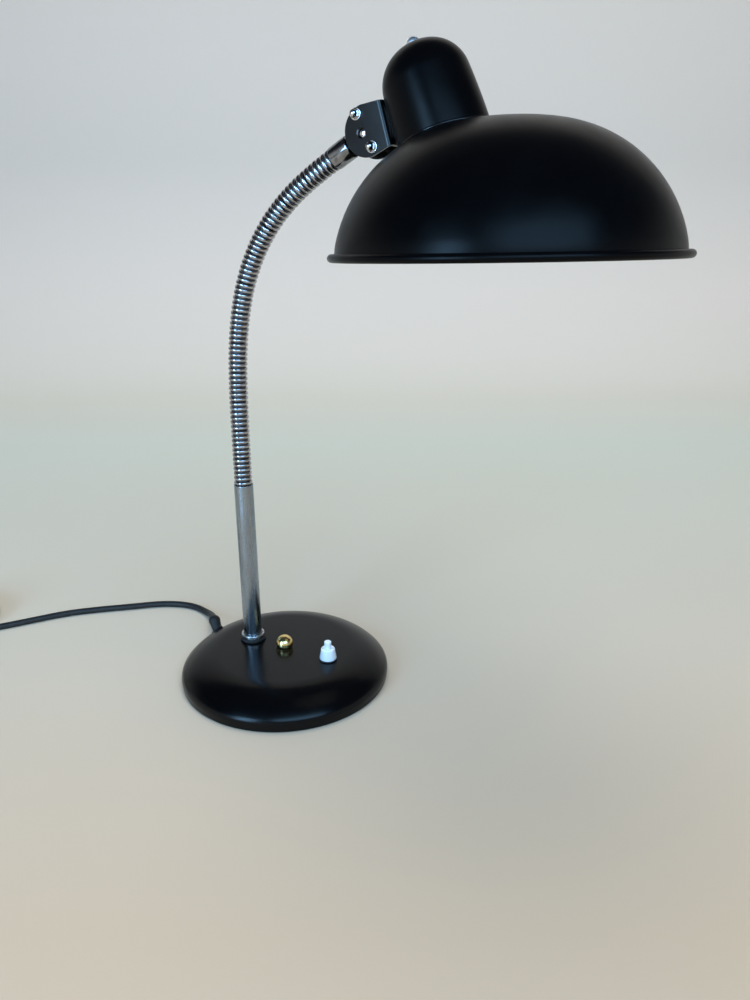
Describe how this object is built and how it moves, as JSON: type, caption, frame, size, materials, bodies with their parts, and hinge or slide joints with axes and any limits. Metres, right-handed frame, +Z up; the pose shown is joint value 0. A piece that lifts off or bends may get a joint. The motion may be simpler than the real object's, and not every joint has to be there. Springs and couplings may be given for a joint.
{
  "type": "gooseneck desk lamp",
  "caption": "Desk lamp with a round weighted base, plated stem and ribbed flexible neck, and a wide spun shade under a domed cap on a ball joint.",
  "frame": {"origin": "centre of the base's underside, on the table", "axes": "+Z up; +X from the stem past the centre nut to the switch, the way the neck leans; +Y to the left of that"},
  "size_m": [0.7869, 0.2486, 0.5217],
  "materials": {
    "black_paint": "satin black stove enamel",
    "steel_tube": "polished chrome, lightly worn",
    "neck_nickel": "nickel plate, dulled in the grooves",
    "ferrule_chrome": "polished chrome",
    "bright_screws": "bright nickel plate",
    "nut_brass": "polished brass",
    "switch_white": "cool white gloss",
    "cord_black": "matt black",
    "washer_black": "matt black fibre",
    "holder_black": "black bakelite",
    "plain_steel": "zinc-plated steel",
    "weight_iron": "rough cast",
    "pad_felt": "dark felt",
    "bulb_cap_metal": "plain",
    "bulb_opal": "opal white",
    "pin_brass": "nickel-plated brass"
  },
  "bodies": {
    "base": {"base_cover": "black_paint", "base_weight": "weight_iron", "bottom_plate": "plain_steel", "base_pad": "pad_felt", "centre_stud": "plain_steel", "weight_nut": "plain_steel", "ball_nut": "nut_brass", "stem_tube": "steel_tube", "stem_collar": "ferrule_chrome", "stem_washer": "washer_black", "stem_nipple": "plain_steel", "stem_lock_nut": "plain_steel", "switch_washer": "washer_black", "switch_housing": "switch_white", "button_spring": "plain_steel", "switch_body": "holder_black", "switch_nut": "plain_steel", "strain_relief": "cord_black", "supply_cord": "cord_black", "cord_coil": "cord_black", "cord_tie": "cord_black", "cord_tail": "cord_black", "plug_body": "cord_black", "plug_pins": "pin_brass", "neck_link_01": "neck_nickel"},
    "button": {"switch_button": "switch_white"},
    "neck_2": {"neck_link_02": "neck_nickel"},
    "neck_3": {"neck_link_03": "neck_nickel"},
    "neck_4": {"neck_link_04": "neck_nickel"},
    "neck_5": {"neck_link_05": "neck_nickel"},
    "neck_6": {"neck_link_06": "neck_nickel"},
    "neck_7": {"neck_link_07": "neck_nickel"},
    "neck_8": {"neck_link_08": "neck_nickel"},
    "neck_9": {"neck_link_09": "neck_nickel"},
    "neck_10": {"neck_link_10": "neck_nickel"},
    "neck_11": {"neck_link_11": "neck_nickel"},
    "neck_12": {"neck_link_12": "neck_nickel", "neck_ferrule": "ferrule_chrome"},
    "ball": {"ball_stud": "ferrule_chrome"},
    "head": {"joint_bracket": "black_paint", "clamp_bolts": "bright_screws", "clamp_washers": "bright_screws", "acorn_nuts": "bright_screws", "dome_saddle": "black_paint", "bracket_rivets": "bright_screws", "dome_cap": "black_paint", "crown_screw": "bright_screws", "lampholder": "holder_black", "carrier_plate": "plain_steel", "shade_ring": "holder_black", "shade": "black_paint", "bulb_cap": "bulb_cap_metal", "bulb_glass": "bulb_opal"}
  },
  "joints": [
    {"name": "neck_bend_1", "type": "hinge", "parent": "base", "child": "neck_2", "pos_m": [-0.03589, 0, 0.2084], "axis": [0, 1, 0], "range_deg": [-7.5, 7.5]},
    {"name": "neck_sway_1", "type": "hinge", "parent": "neck_2", "child": "neck_3", "pos_m": [-0.03567, 0, 0.2338], "axis": [1, 0, -0.0087], "range_deg": [-7.5, 7.5]},
    {"name": "neck_bend_2", "type": "hinge", "parent": "neck_3", "child": "neck_4", "pos_m": [-0.03522, 0, 0.2592], "axis": [0, 1, 0], "range_deg": [-7.5, 7.5]},
    {"name": "neck_sway_2", "type": "hinge", "parent": "neck_4", "child": "neck_5", "pos_m": [-0.03412, 0, 0.28457], "axis": [0.9981, 0, -0.061], "range_deg": [-7.5, 7.5]},
    {"name": "neck_bend_3", "type": "hinge", "parent": "neck_5", "child": "neck_6", "pos_m": [-0.03168, 0, 0.30985], "axis": [0, 1, 0], "range_deg": [-7.5, 7.5]},
    {"name": "neck_sway_3", "type": "hinge", "parent": "neck_6", "child": "neck_7", "pos_m": [-0.02716, 0, 0.33483], "axis": [0.9744, 0, -0.225], "range_deg": [-7.5, 7.5]},
    {"name": "neck_bend_4", "type": "hinge", "parent": "neck_7", "child": "neck_8", "pos_m": [-0.01974, 0, 0.3591], "axis": [0, 1, 0], "range_deg": [-7.5, 7.5]},
    {"name": "neck_sway_4", "type": "hinge", "parent": "neck_8", "child": "neck_9", "pos_m": [-0.00872, 0, 0.38195], "axis": [0.8616, 0, -0.5075], "range_deg": [-7.5, 7.5]},
    {"name": "neck_bend_5", "type": "hinge", "parent": "neck_9", "child": "neck_10", "pos_m": [0.00592, 0, 0.40267], "axis": [0, 1, 0], "range_deg": [-7.5, 7.5]},
    {"name": "neck_sway_5", "type": "hinge", "parent": "neck_10", "child": "neck_11", "pos_m": [0.02378, 0, 0.42069], "axis": [0.6494, 0, -0.7604], "range_deg": [-7.5, 7.5]},
    {"name": "neck_bend_6", "type": "hinge", "parent": "neck_11", "child": "neck_12", "pos_m": [0.04412, 0, 0.43588], "axis": [0, 1, 0], "range_deg": [-7.5, 7.5]},
    {"name": "head_swivel", "type": "hinge", "parent": "neck_12", "child": "ball", "pos_m": [0.09305, 0, 0.4649], "axis": [0.866, 0, 0.5], "range_deg": [-90, 90]},
    {"name": "head_tilt", "type": "hinge", "parent": "ball", "child": "head", "pos_m": [0.09305, 0, 0.4649], "axis": [0.0305, 0.9981, -0.0529], "range_deg": [-55, 35]},
    {"name": "button_press", "type": "slide", "parent": "base", "child": "button", "axis": [0, 0, -1], "range_m": [0, 0.003], "stiffness_N_per_m": 450, "springref_m": -0.0005, "deforming": ["button_spring"]}
  ]
}
